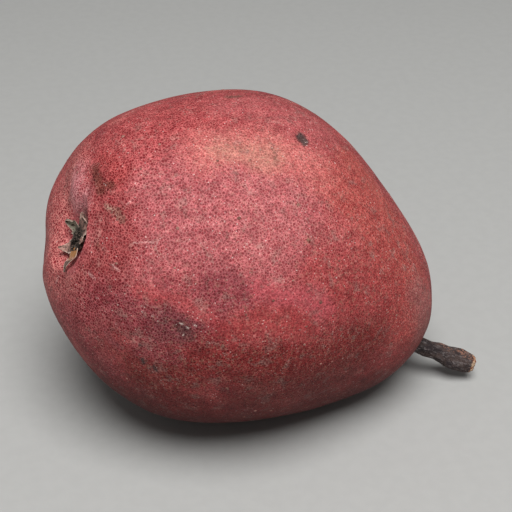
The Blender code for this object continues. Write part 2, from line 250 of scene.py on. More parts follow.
class Paint(Board):
    """A material's node tree, with the surface point in millimetres."""

    def __init__(self, name: str) -> None:
        """Starts an empty material.

        Args:
            name: the material's name.
        """
        self.material = bpy.data.materials.new(name)
        self.material.use_nodes = True
        self.material.node_tree.nodes.clear()
        super().__init__(self.material.node_tree)
        self.place = self.wire("ShaderNodeTexCoord", {}, "Object") * (1.0 / MM)

    def reading(self, name: str, output: str = "Fac") -> Wire:
        """Returns what the mesh carries at each point: a number as Fac, three as Color."""
        return self.wire("ShaderNodeAttribute", {}, output, attribute_name=name)

    def finish(self, colour: Wire, roughness: object, height_mm: Wire | None = None,
               specular: float = 0.5) -> bpy.types.Material:
        """Joins the finish to the surface.

        Args:
            colour: the base colour.
            roughness: a number or a wire.
            height_mm: the height of the fine relief.
            specular: how strong the sheen is, the same all over.

        Returns:
            The material.
        """
        inputs = {"Base Color": colour, "Roughness": roughness, "Specular IOR Level": specular}
        if height_mm is not None:
            bump = {"Height": height_mm, "Strength": 1.0, "Distance": MM}
            inputs["Normal"] = self.wire("ShaderNodeBump", bump, "Normal")
        shader = self.wire("ShaderNodeBsdfPrincipled", inputs)
        self.add("ShaderNodeOutputMaterial", {"Surface": shader})
        return self.material


class Recipe(Board):
    """A Geometry Nodes tree with named inputs, from one geometry to another."""

    def __init__(self, name: str) -> None:
        """Starts a tree that takes and gives one geometry.

        Args:
            name: the tree's name.
        """
        super().__init__(bpy.data.node_groups.new(name, "GeometryNodeTree"))
        for way in ("INPUT", "OUTPUT"):
            self.tree.interface.new_socket("Geometry", in_out=way, socket_type="NodeSocketGeometry")
        self.entry = self.tree.nodes.new("NodeGroupInput")
        self.values: dict[str, object] = {}

    def geometry(self) -> Wire:
        """Returns the geometry that comes in."""
        return Wire(self, self.entry.outputs["Geometry"])

    def ask(self, name: str, value: object, kind: str = "NodeSocketFloat") -> Wire:
        """Adds a named input.

        Args:
            name: the input's name.
            value: what the modifier sets it to.
            kind: the socket's type.

        Returns:
            The input.
        """
        socket = self.tree.interface.new_socket(name, in_out="INPUT", socket_type=kind)
        self.values[socket.identifier] = value
        return Wire(self, self.entry.outputs[name])

    def point(self) -> Wire:
        """Returns each point's place in millimetres."""
        return self.wire("GeometryNodeInputPosition") * (1.0 / MM)

    def random(self, low: float, high: float, seed: int) -> Wire:
        """Draws a number for each point.

        Args:
            low: the smallest.
            high: the largest.
            seed: which series of draws.

        Returns:
            The number.
        """
        limits = {"Min": low, "Max": high, "Seed": seed}
        node = self.add("FunctionNodeRandomValue", data_type="FLOAT")
        for socket in node.inputs:
            if socket.enabled and socket.name in limits:
                socket.default_value = limits[socket.name]
        return Wire(self, next(socket for socket in node.outputs if socket.enabled))

    def smoothed(self, levels: int, crease: object = 0.0) -> Wire:
        """Subdivides the mesh that comes in.

        Args:
            levels: how often, as a named input.
            crease: how sharp each edge stays, 0 to 1.

        Returns:
            The smooth mesh.
        """
        level = self.ask("Smoothing", levels, "NodeSocketInt")
        inputs = {"Mesh": self.geometry(), "Level": level, "Edge Crease": crease}
        return self.wire("GeometryNodeSubdivisionSurface", inputs)

    def moved(self, geometry: Wire, offset: Wire) -> Wire:
        """Returns a geometry with its points moved by an offset in metres."""
        return self.wire("GeometryNodeSetPosition", {"Geometry": geometry, "Offset": offset})

    def outward(self, height_mm: Wire) -> Wire:
        """Returns the offset in metres that lifts the points along their normals."""
        return self.wire("GeometryNodeInputNormal") * (height_mm * MM)

    def stood(self, points: Wire, instance: Wire, rotation: Wire, scale: Wire) -> Wire:
        """Returns one instance on each point, turned and scaled there."""
        inputs = {"Points": points, "Instance": instance, "Rotation": rotation, "Scale": scale}
        return self.wire("GeometryNodeInstanceOnPoints", inputs)

    def bent(self, instances: Wire, size_mm: float, reach_mm: float) -> Wire:
        """Returns instances as one geometry, pushed about by clouds of a size, up to a reach."""
        whole = self.wire("GeometryNodeRealizeInstances", {"Geometry": instances})
        return self.moved(whole, (self.stray(self.point(), size_mm, reach_mm) - self.point()) * MM)

    def note(self, geometry: Wire, name: str, value: Wire, kind: str) -> Wire:
        """Returns a geometry whose points carry a reading of one data type, for a material."""
        inputs = {"Geometry": geometry, "Name": name, "Value": value}
        return self.wire("GeometryNodeStoreNamedAttribute", inputs, data_type=kind, domain="POINT")

    def serve(self, geometry: Wire, material: bpy.types.Material, target: bpy.types.Object) -> None:
        """Ends the tree, runs it on an object and keeps the result as its plain mesh.

        Args:
            geometry: what the tree has made.
            material: the finish that it gets.
            target: the object whose mesh goes in and is replaced.
        """
        whole = self.wire("GeometryNodeRealizeInstances", {"Geometry": geometry})
        smooth = self.wire("GeometryNodeSetShadeSmooth", {"Geometry": whole, "Shade Smooth": True})
        dressed = self.wire("GeometryNodeSetMaterial", {"Geometry": smooth, "Material": material})
        self.add("NodeGroupOutput", {"Geometry": dressed})
        modifier = target.modifiers.new(self.tree.name, "NODES")
        modifier.node_group = self.tree
        for identifier, value in self.values.items():
            modifier[identifier] = value
        evaluated = target.evaluated_get(bpy.context.evaluated_depsgraph_get())
        made = bpy.data.meshes.new_from_object(evaluated)
        target.modifiers.remove(modifier)
        target.data = made


def placed(name: str, data: bpy.types.ID) -> bpy.types.Object:
    """Puts a new object at the scene's origin.

    Args:
        name: the object's name.
        data: the mesh, camera or light that it holds.

    Returns:
        The object.
    """
    obj = bpy.data.objects.new(name, data)
    bpy.context.scene.collection.objects.link(obj)
    return obj


def toward(azimuth_deg: float, elevation_deg: float) -> Vector:
    """Works out a direction from two angles.

    Args:
        azimuth_deg: the turn from the front.
        elevation_deg: the rise over the floor.

    Returns:
        The unit vector that points there.
    """
    azimuth, elevation = math.radians(azimuth_deg), math.radians(elevation_deg)
    level = math.cos(elevation)
    return Vector((math.sin(azimuth) * level, -math.cos(azimuth) * level, math.sin(elevation)))


def aimed(name: str, data: bpy.types.ID, place: Vector, back: Vector) -> bpy.types.Object:
    """Stands a camera or a light somewhere.

    Args:
        name: the object's name.
        data: its camera or light.
        place: where it stands.
        back: the direction from what it looks at.

    Returns:
        The object.
    """
    obj = placed(name, data)
    obj.location = place
    obj.rotation_mode = "QUATERNION"
    obj.rotation_quaternion = (-back).to_track_quat("-Z", "Y")
    return obj


@dataclass(frozen=True)
class PhotoView:
    """Where the photograph was taken from, and its frame."""

    lens_mm: float = 85.0
    sensor_mm: float = 36.0
    image_px: int = 512
    azimuth_deg: float = -13.95
    elevation_deg: float = 34.39
    distance: float = 0.2818
    target: tuple[float, float, float] = (-0.0014, 0.0, 0.0359)

    def back(self) -> Vector:
        """Returns the direction from the target to the camera."""
        return toward(self.azimuth_deg, self.elevation_deg)

    def eye(self) -> Vector:
        """Returns where the camera stands."""
        return Vector(self.target) + self.back() * self.distance

    def sight(self, pixel: Pixel) -> Vector:
        """Works out the direction in which a pixel of the photograph looks.

        Args:
            pixel: column and row, from the upper left corner.

        Returns:
            A unit vector.
        """
        azimuth = math.radians(self.azimuth_deg)
        right = Vector((math.cos(azimuth), math.sin(azimuth), 0.0))
        up = self.back().cross(right)
        middle = self.image_px / 2.0
        reach = self.lens_mm / self.sensor_mm * self.image_px
        way = right * ((pixel[0] - middle) / reach) + up * ((middle - pixel[1]) / reach) - self.back()
        return way.normalized()

    def build(self) -> None:
        """Makes the camera and sets it as the scene's."""
        lens = bpy.data.cameras.new("camera")
        lens.lens = self.lens_mm
        lens.sensor_width = self.sensor_mm
        lens.clip_start, lens.clip_end = 0.01, 20.0
        bpy.context.scene.camera = aimed("camera", lens, self.eye(), self.back())


class Skin:
    """The fruit's surface, on which marks are laid from the photograph."""

    def __init__(self, mesh: bpy.types.Mesh, view: PhotoView) -> None:
        """Prepares the surface.

        Args:
            mesh: the fruit's mesh.
            view: where the photograph was taken from.
        """
        points = [vertex.co.copy() for vertex in mesh.vertices]
        self.tree = BVHTree.FromPolygons(points, [tuple(face.vertices) for face in mesh.polygons])
        self.view = view

    def facing(self, start: Vector, way: Vector) -> Vector:
        """Finds where a line first meets the skin.

        Args:
            start: the line's start, in metres.
            way: its direction.

        Returns:
            The point, in metres.
        """
        point = self.tree.ray_cast(start, way)[0]
        if point is None:
            raise ValueError(f"no skin lies from {start} along {way}")
        return point

    def under(self, pixel: Pixel) -> Vector:
        """Returns the point of the skin that a pixel shows, in millimetres."""
        return self.facing(self.view.eye(), self.view.sight(pixel)) / MM

    def path(self, pixels: tuple[Pixel, ...]) -> list[Vector]:
        """Returns the points of the skin that several pixels show."""
        return [self.under(pixel) for pixel in pixels]


def grown_copy(node: str, name: str) -> bpy.types.Object:
    """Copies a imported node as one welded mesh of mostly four-sided faces.

    Args:
        node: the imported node's name.
        name: the copy's name.

    Returns:
        The new object, at the origin.
    """
    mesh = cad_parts[node].data.copy()
    mesh.name = name
    mesh.materials.clear()
    work = bmesh.new()
    work.from_mesh(mesh)
    bmesh.ops.remove_doubles(work, verts=work.verts, dist=WELD)
    bmesh.ops.join_triangles(
        work, faces=work.faces, angle_face_threshold=math.radians(FLAT_DEG),
        angle_shape_threshold=math.radians(SHAPE_DEG),
    )
    work.to_mesh(mesh)
    work.free()
    return placed(name, mesh)


def new_object(name: str, work: bmesh.types.BMesh) -> bpy.types.Object:
    """Turns the mesh that was being made into an object at the origin.

    Args:
        name: the object's name.
        work: the mesh, which is used up.

    Returns:
        The object.
    """
    mesh = bpy.data.meshes.new(name)
    work.to_mesh(mesh)
    work.free()
    return placed(name, mesh)


def bridge(work: bmesh.types.BMesh, rings: list[list[bmesh.types.BMVert]]) -> None:
    """Joins rings of points to their neighbours by four-sided faces.

    Args:
        work: the mesh being made.
        rings: the rings in order, with as many points each.
    """
    for low, high in zip(rings, rings[1:]):
        for i in range(len(low)):
            j = (i + 1) % len(low)
            work.faces.new((low[i], low[j], high[j], high[i]))


def packed_points(node: str) -> np.ndarray:
    """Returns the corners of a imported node's mesh, in millimetres."""
    return np.array([vertex.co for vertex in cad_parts[node].data.vertices]) / MM


@dataclass(frozen=True)
class StemLine:
    """Where the stem runs, in millimetres: its root, its end and its directions."""

    root: Vector
    end: Vector
    axis: Vector
    upward: Vector

    @classmethod
    def measured(cls, core: Vector, root_mm: float = 1.0, end_mm: float = 0.9) -> "StemLine":
        """Finds the stem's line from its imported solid.

        Args:
            core: the direction of the fruit's core.
            root_mm: the length at the root whose mean is taken.
            end_mm: the length at the end whose mean is taken.

        Returns:
            The line.
        """
        points = packed_points("stem")
        reach = points @ np.array(core)
        root = Vector(points[reach < reach.min() + root_mm].mean(axis=0))
        end = Vector(points[reach > reach.max() - end_mm].mean(axis=0))
        axis = (end - root).normalized()
        return cls(root, end, axis, axis.cross(UP).normalized().cross(axis))

    def drawn_out(self, place: Wire, share: float) -> Wire:
        """Returns a point less a share of its way along the stem, so that patterns run along it."""
        return place - place.dot(self.axis) * share * self.axis

    def past_end(self, place: Wire) -> Wire:
        """Returns how far a point lies beyond the stem's end, along its line."""
        return (place - self.end).dot(self.axis)


@dataclass(frozen=True)
class Landmarks:
    """The fruit's own directions, and the places of its calyx and stem in millimetres.

    The core runs from the calyx to the stem, the side is level and the lift is
    the upward direction across the core.
    """

    core: Vector
    side: Vector
    lift: Vector
    seat: Vector
    stem: StemLine

    @classmethod
    def measured(cls, pitch_deg: float = 28.4, seat_mm: float = 0.05) -> "Landmarks":
        """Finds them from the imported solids.

        Args:
            pitch_deg: how steeply the core falls towards the stem.
            seat_mm: the depth of the calyx's floor whose mean is its seat.

        Returns:
            The landmarks.
        """
        pitch = math.radians(pitch_deg)
        core = Vector((math.cos(pitch), 0.0, -math.sin(pitch)))
        lift = Vector((math.sin(pitch), 0.0, math.cos(pitch)))
        points = packed_points("calyx")
        reach = points @ np.array(core)
        seat = Vector(points[reach > reach.max() - seat_mm].mean(axis=0))
        return cls(core, Vector((0.0, 1.0, 0.0)), lift, seat, StemLine.measured(core))


class Tone(Enum):
    """The skin's mean colours, as linear red, green and blue."""

    ROSE = (0.46, 0.104, 0.108)
    UPPER_ROSE = (0.435, 0.075, 0.078)
    GREY_ROSE = (0.45, 0.109, 0.118)
    PALE_ROSE = (0.50, 0.128, 0.134)
    SALMON = (0.59, 0.152, 0.142)
    BEIGE = (0.54, 0.200, 0.160)
    BRICK = (0.475, 0.080, 0.070)
    RED_ROSE = (0.385, 0.053, 0.052)
    ORANGE_RED = (0.52, 0.099, 0.083)
    CRIMSON = (0.335, 0.058, 0.060)
    RIM_PINK = (0.50, 0.126, 0.121)
    BASIN_VIOLET = (0.46, 0.108, 0.120)
    # Painted light: a bright pink for the basin's upper wall, which faces away from the lamp.
    BASIN_PINK = (0.72, 0.245, 0.262)
    WINE = (0.31, 0.046, 0.058)
    DUSK = (0.26, 0.046, 0.058)
    DEEP_DUSK = (0.17, 0.042, 0.050)
    BRIGHT_PINK = (0.49, 0.086, 0.100)
    BRIGHT_RED = (0.355, 0.047, 0.048)
    # MAROON and DEEP_MAROON darken the lower side: partly the skin's own deep red, partly painted shade
    # towards the floor.
    MAROON = (0.205, 0.021, 0.020)
    DEEP_MAROON = (0.110, 0.010, 0.009)
    BLOOM = (0.37, 0.118, 0.112)
    BROWN = (0.130, 0.036, 0.025)
    SCUFF = (0.36, 0.190, 0.150)
    OLD_SCUFF = (0.20, 0.085, 0.066)
    CORK = (0.170, 0.100, 0.062)
    PIT = (0.075, 0.046, 0.044)
    BRUISE = (0.075, 0.030, 0.030)
    SCRATCH = (0.60, 0.270, 0.260)
    # Painted highlight: the colour of small specular glints.
    GLINT = (0.86, 0.66, 0.60)


@dataclass(frozen=True)
class Zone:
    """A part of the skin: where the photograph shows it, how far it reaches and its look.

    The look is a mean colour and three numbers from 0 to about 1.3: how dark the
    cells are, how net-like they stand and how much olive flecking there is.
    """

    pixels: tuple[Pixel, ...]
    reach_mm: float
    strength: float
    tone: Tone
    contrast: float
    netted: float
    flecked: float


@dataclass(frozen=True)
class Mark:
    """Marks of one tone on the skin, each as a path of pixels and its half-width.

    The fruit's points carry how far they lie from a mark. Fine marks are smaller
    than the points' spacing, so the shader measures them itself.
    """

    tone: Tone
    strength: float
    ragged_mm: float
    places: tuple[tuple[tuple[Pixel, ...], float], ...]
    fine: bool = False
    relief_mm: float = 4.0

    def name(self) -> str:
        """Returns the name of the reading that carries the marks."""
        return f"mark_{self.tone.name.lower()}"

    def outside(self, board: Board, place: Wire, skin: Skin) -> Wire:
        """Works out how far a point lies outside the marks.

        Fine marks are measured across the line of sight, so that the skin's
        relief doesn't hide them.

        Args:
            board: the tree to draw on.
            place: the point in millimetres.
            skin: the surface, for the places of pixels.

        Returns:
            The distance in millimetres, below 0 within a mark.
        """
        nearest = None
        for pixels, reach in self.places:
            path, point = skin.path(pixels), place
            if self.fine:
                sight, first = skin.view.sight(pixels[0]), path[0]
                depth = (place - first).dot(sight).clamped(-self.relief_mm, self.relief_mm)
                point = place - depth * sight
                path = [corner - sight * (corner - first).dot(sight) for corner in path]
            away = board.path_distance(point, path) - reach
            nearest = away if nearest is None else nearest.least(away)
        return nearest


@dataclass(frozen=True)
class SkinMap:
    """Where the skin's tones and marks lie, and how their outlines wander and fray."""

    zones: tuple[Zone, ...] = (
        Zone(((150, 215), (320, 232)), 26.0, 0.95, Tone.GREY_ROSE, 0.95, 0.45, 0.3),
        Zone(((250, 205), (285, 212), (262, 250)), 9.0, 0.70, Tone.PALE_ROSE, 0.95, 0.45, 0.4),
        Zone(((105, 160), (150, 125), (225, 108)), 15.0, 0.90, Tone.UPPER_ROSE, 1.2, 0.8, 0.15),
        Zone(((240, 104), (310, 125)), 11.0, 0.80, Tone.ROSE, 0.8, 0.4, 0.3),
        # The pale salmon and beige band over the upper side is partly the skin's own paler patch, partly a
        # painted highlight where the light falls on the top.
        Zone(((208, 149), (262, 147), (335, 182)), 9.0, 0.95, Tone.SALMON, 0.7, 0.3, 0.5),
        Zone(((228, 150), (268, 155)), 6.0, 0.80, Tone.BEIGE, 0.5, 0.3, 0.8),
        Zone(((360, 205), (400, 250), (410, 300)), 17.0, 0.85, Tone.BRICK, 1.0, 0.3, 0.5),
        Zone(((325, 272), (385, 284), (400, 318)), 11.0, 0.75, Tone.RED_ROSE, 1.0, 0.3, 0.6),
        Zone(((352, 160), (385, 205)), 6.0, 0.60, Tone.ORANGE_RED, 0.6, 0.3, 0.5),
        Zone(((106, 195), (116, 240), (102, 268)), 10.0, 0.90, Tone.CRIMSON, 1.2, 0.9, 0.05),
        Zone(((75, 165), (60, 200), (55, 250), (66, 290)), 8.0, 0.90, Tone.RIM_PINK, 1.3, 1.0, 0.0),
        Zone(((104, 160), (118, 172)), 5.0, 0.60, Tone.RED_ROSE, 1.2, 0.8, 0.1),
        Zone(((92, 302), (68, 318), (84, 342), (105, 368)), 8.0, 0.75, Tone.WINE, 1.35, 0.8, 0.4),
        Zone(((120, 305), (155, 322), (205, 315)), 8.5, 0.74, Tone.DUSK, 1.25, 0.6, 0.5),
        Zone(((165, 325), (190, 330)), 6.0, 0.62, Tone.DEEP_DUSK, 1.0, 0.5, 0.7),
        Zone(((210, 285), (248, 298)), 5.5, 0.72, Tone.DUSK, 0.9, 0.4, 0.6),
        Zone(((340, 308), (380, 320)), 8.0, 0.60, Tone.BRIGHT_RED, 0.9, 0.3, 0.5),
        # Partly painted shade: the maroon band along the bottom edge, near the floor.
        Zone(((150, 374), (220, 360), (340, 352), (368, 345)), 10.5, 0.85, Tone.MAROON, 1.2, 0.5, 0.8),
        # Painted light: the basin's upper wall is painted a brighter pink where it turns away from the lamp.
        Zone(((76, 184), (79, 200), (85, 204)), 6.0, 0.85, Tone.BASIN_PINK, 1.1, 1.0, 0.0),
        Zone(((264, 289), (288, 296), (322, 304)), 4.5, 0.85, Tone.BRIGHT_PINK, 0.5, 0.3, 0.2),
        Zone(((222, 326), (262, 318), (305, 330)), 4.5, 0.80, Tone.BRIGHT_RED, 0.6, 0.3, 0.3),
        Zone(((143, 350), (162, 356)), 5.0, 0.70, Tone.DUSK, 1.1, 0.6, 0.6),
        # Painted shade, with the skin's own deep red: the darkest band, where the fruit meets the floor.
        Zone(((250, 392), (300, 388), (335, 376)), 9.0, 0.60, Tone.DEEP_MAROON, 1.2, 0.5, 0.6),
        Zone(((138, 289), (170, 299), (206, 312)), 2.8, 0.80, Tone.UPPER_ROSE, 0.6, 0.4, 0.1),
        Zone(((418, 295), (424, 325)), 7.0, 0.75, Tone.BLOOM, 0.9, 0.3, 0.4),
    )
    marks: tuple[Mark, ...] = (
        Mark(Tone.BROWN, 0.70, 0.7, (
            (((95, 169), (98, 180), (101, 190)), 1.2), (((100, 184), (112, 185)), 1.0), (((98, 246),), 0.7),
        )),
        Mark(Tone.SCUFF, 0.75, 0.5, ((((106, 206), (113, 210)), 0.5),)),
        Mark(Tone.OLD_SCUFF, 0.75, 0.5, (
            (((117, 213), (122, 219)), 1.1), (((226, 97), (240, 96)), 0.8),
            (((270, 146), (277, 156), (274, 165)), 0.25),
        )),
        Mark(Tone.CORK, 0.9, 0.25, ((((298, 205),), 0.55), (((309, 240),), 0.7), (((251, 271),), 0.5))),
        Mark(Tone.PIT, 0.95, 0.3, (
            (((300, 136), (305, 142)), 0.85), (((140, 345),), 0.32),
            (((142, 359), (144, 363)), 0.38), (((154, 367), (157, 370)), 0.36),
        ), fine=True),
        Mark(Tone.BRUISE, 0.75, 1.1, ((((180, 327), (187, 335)), 1.3),)),
        Mark(Tone.SCRATCH, 0.8, 0.12, (
            (((134, 243), (146, 242), (157, 243)), 0.15), (((113, 265), (119, 271)), 0.18),
            (((88, 272), (95, 279)), 0.25), (((56, 283), (59, 276)), 0.15), (((127, 204), (133, 200)), 0.15),
        ), fine=True),
        # Painted highlights: small bright glints on the skin.
        Mark(Tone.GLINT, 0.85, 0.15, (
            (((180, 323), (182, 324)), 0.10), (((186, 327), (188, 328)), 0.10),
            (((194, 325), (196, 326)), 0.13), (((183, 335),), 0.12), (((173, 320),), 0.04),
            (((118, 305),), 0.10), (((116, 324),), 0.04), (((143, 311),), 0.03),
            (((152, 316),), 0.03), (((233, 356),), 0.03), (((205, 181),), 0.03),
        ), fine=True),
    )
    wander_mm: Bend = (8.0, 3.0)
    fray_mm: Bend = (3.5, 1.6)
    streak_draw: float = 0.72
    zone_core: float = 0.2
    basin_mm: Span = (9.5, 6.5)
    rim_mm: Span = (24.0, 13.0)
    root_mm: Span = (17.0, 7.0)
    # The low span and wave set where the maroon towards the floor begins, partly painted shade.
    low_mm: Span = (34.0, 14.0)
    low_wave_mm: float = 14.0
    # Darker and redder towards the floor: partly the skin's own deeper red, partly painted shade on the
    # underside.
    underside_tone_and_shade: Colour = (0.24, 0.070, 0.062)
    underside_mm: Span = (34.5, 8.0)
    underside_wave_mm: float = 9.0
    underside_way: tuple[float, float, float] = (0.15, 0.0, 1.0)

    def lay(self, recipe: Recipe, geometry: Wire, skin: Skin, land: Landmarks) -> Wire:
        """Notes the tones, the look of the cells and the marks on the skin's points.

        Args:
            recipe: the tree that shapes the fruit.
            geometry: the fruit's surface.
            skin: the surface, for the places of pixels.
            land: the places of the calyx and the stem.

        Returns:
            The surface with its readings.
        """
        place = recipe.point()
        drawn = place - place.dot(land.core) * self.streak_draw * land.core
        wandering = recipe.stray(place, *self.wander_mm) + recipe.stray(drawn, *self.fray_mm) - drawn
        tone, look = self._ground(recipe, place, drawn, land)
        basin = place.distance(land.seat).between(*self.basin_mm)
        tone = recipe.mix(basin * 0.9, tone, Tone.BASIN_VIOLET.value)
        look = recipe.mix(basin, look, (0.35, 1.0, 0.0))
        for zone in self.zones:
            away = recipe.path_distance(wandering, skin.path(zone.pixels))
            share = away.between(zone.reach_mm, self.zone_core * zone.reach_mm) * zone.strength
            tone = recipe.mix(share, tone, zone.tone.value)
            look = recipe.mix(share, look, (zone.contrast, zone.netted, zone.flecked))
        # Painted shade, with the skin's own deeper red: the tone darkens and reddens towards the floor.
        uneven = (recipe.noise(drawn, self.underside_wave_mm, 3.0) - 0.5) * self.underside_wave_mm
        height = place.dot(self.underside_way) + uneven
        tone = recipe.mix(height.between(*self.underside_mm), tone, tone * self.underside_tone_and_shade)
        geometry = recipe.note(geometry, "tone", tone, "FLOAT_COLOR")
        geometry = recipe.note(geometry, "look", look, "FLOAT_COLOR")
        for mark in self.marks:
            if not mark.fine:
                geometry = recipe.note(geometry, mark.name(), mark.outside(recipe, place, skin), "FLOAT")
        return geometry

    def _ground(self, recipe: Recipe, place: Wire, drawn: Wire, land: Landmarks) -> tuple[Wire, Wire]:
        """Works out the tones under the zones, all round the fruit.

        Args:
            recipe: the tree that shapes the fruit.
            place: the point in millimetres.
            drawn: the point whose patterns run along the core.
            land: the places of the calyx and the stem.

        Returns:
            The mean colour, and the look of the cells as three numbers.
        """
        broad = recipe.noise(drawn, 11.0, 3.0, 0.55)
        streaks = recipe.noise(drawn, 5.0, 3.0, 0.6)
        # Maroon towards the floor: partly the skin's own deeper red, partly painted shade on the lower side.
        low = (place.dot(UP) + (broad - 0.5) * self.low_wave_mm).between(*self.low_mm)
        rim = place.distance(land.seat).between(*self.rim_mm) * 0.8
        root = place.distance(land.stem.root).between(*self.root_mm) * 0.7
        tone = recipe.coated(
            Tone.CRIMSON.value,
            (broad.between(0.38, 0.60), Tone.UPPER_ROSE.value),
            (streaks.between(0.56, 0.68) * 0.8, Tone.SALMON.value),
            (streaks.between(0.44, 0.34) * 0.7, Tone.DUSK.value),
            (low * 0.7, Tone.MAROON.value),
            (rim, Tone.RIM_PINK.value),
            (root, Tone.BLOOM.value),
        )
        plain = recipe.mix(broad.between(0.4, 0.6), (1.0, 0.7, 0.2), (0.7, 0.4, 0.4))
        return tone, recipe.coated(plain, (rim, (1.3, 1.0, 0.0)), (root, (0.8, 0.3, 0.4)))


@dataclass(frozen=True)
class Patches:
    """Frayed patches of one colour, where clouds rise through a span of levels.

    The size and the fray are in millimetres.
    """

    colour: Colour
    size: float
    fray: Bend
    levels: Span
    roughness: float = 0.7
    detail: float = 3.0

    def clouds(self, paint: Paint, place: Wire) -> Wire:
        """Returns the clouds behind the patches, about 0.5."""
        return paint.noise(paint.stray(place, *self.fray), self.size, self.detail, self.roughness)

    def share(self, paint: Paint) -> Wire:
        """Returns 1 within the patches and 0 between them."""
        return self.clouds(paint, paint.place).between(*self.levels)


@dataclass(frozen=True)
class SkinFinish:
    """The pear's skin: dark cells in a paler network, flecks, marks, painted glints and a fine grain."""

    cell_mm: float = 0.56
    growth: float = 0.15
    growth_from_mm: float = 45.0
    light: Colour = (1.40, 1.85, 1.75)
    plain: Colour = (1.06, 1.06, 1.06)
    dark: Colour = (0.63, 0.36, 0.41)
    olive: Patches = Patches((0.36, 0.190, 0.130), 0.75, (0.7, 0.3), (0.52, 0.64))
    grey: Patches = Patches((0.33, 0.165, 0.145), 3.4, (2.0, 1.0), (0.56, 0.68), 0.6)
    pale: Patches = Patches((0.52, 0.250, 0.230), 0.62, (0.9, 0.3), (0.55, 0.70))
    dust_and_glint_mm: float = 0.95

    def dress(self, chart: SkinMap, land: Landmarks, skin: Skin) -> bpy.types.Material:
        """Paints the skin.

        Args:
            chart: the zones and marks, whose readings the surface carries.
            land: the place of the calyx, towards which the cells grow larger.
            skin: the surface, for the places of fine marks.

        Returns:
            The material.
        """
        paint = Paint("pear_skin")
        place = paint.place
        tone = paint.reading("tone", "Color")
        look = paint.reading("look", "Color")
        contrast, netted, flecked = (look.dot(way) for way in ((1, 0, 0), (0, 1, 0), (0, 0, 1)))
        inside, web = self._cells(paint, netted, land)
        pattern = paint.coated(self.plain, (inside, self.dark), (web, self.light))
        fibre = paint.noise(place, 0.42, 4.0, 0.78)
        blots = paint.noise(paint.stray(place, 1.2, 0.5), 1.9, 3.0, 0.65)
        pattern = (pattern - WHITE) * contrast + WHITE
        pattern = pattern * (0.54 + fibre.between(0.27, 0.73) * 0.92)
        pattern = pattern * (0.84 + blots.between(0.30, 0.70) * 0.32)
        lit = (0.22 + tone.dot((2.0, 0.0, 0.0))).least(1.0)
        overlay = pattern * lit
        olive = self.olive.share(paint) * flecked * 0.65
        colour = paint.mix(olive, tone * pattern, overlay * self.olive.colour)
        grey = self.grey.share(paint) * (0.25 + flecked * 0.5)
        colour = paint.mix(grey, colour, overlay * self.grey.colour)
        for mark in chart.marks:
            outside = mark.outside(paint, place, skin) if mark.fine else paint.reading(mark.name())
            ragged = outside + (blots + fibre - 1.0) * (2.0 * mark.ragged_mm)
            softness = 0.15 + 0.7 * mark.ragged_mm
            share = ragged.between(softness, -1.2 * softness) * mark.strength
            colour = paint.mix(share, colour, pattern * mark.tone.value)
        colour = paint.mix(self.pale.share(paint) * flecked * 0.75, colour, overlay * self.pale.colour)
        # Tiny pale specks in the glint colour: partly dust on the skin, partly painted highlights.
        dust_and_glints = paint.cells(paint.stray(place, 0.5, 0.22), self.dust_and_glint_mm).between(0.18, 0.06)
        dust_and_glints = dust_and_glints * blots.between(0.40, 0.58)
        colour = paint.mix(dust_and_glints * 0.85, colour, lit * Tone.GLINT.value)
        height = fibre * 0.10 - inside * 0.04 + blots * 0.06
        return paint.finish(colour, 0.46 + fibre * 0.16 + blots * 0.06, height, specular=0.12)

    def _cells(self, paint: Paint, netted: Wire, land: Landmarks) -> tuple[Wire, Wire]:
        """Draws the cells and the pale lines between them.

        Args:
            paint: the material's tree.
            netted: how net-like the cells stand.
            land: the place of the calyx.

        Returns:
            How dark the cells are and how pale the lines are, both 0 elsewhere.
        """
        offset = paint.stray(paint.place, 0.9, 0.12) - land.seat
        place = offset * (offset.length() / self.growth_from_mm) ** self.growth
        size = paint.noise(place, 2.6, 2.0, 0.6)
        edge = paint.cells(place, self.cell_mm, "DISTANCE_TO_EDGE")
        dots = (paint.cells(place, self.cell_mm) + (size - 0.5) * 0.7).between(0.60, 0.34)
        inside = dots + (edge.between(0.03, 0.17) - dots) * netted
        shade = paint.cells(place, self.cell_mm, output="Color").dot((1.0, 0.0, 0.0))
        web = edge.between(0.17, 0.03) * (0.30 + netted * 0.2 + size.between(0.35, 0.65) * 0.5)
        return inside * (0.45 + shade * 0.75), web


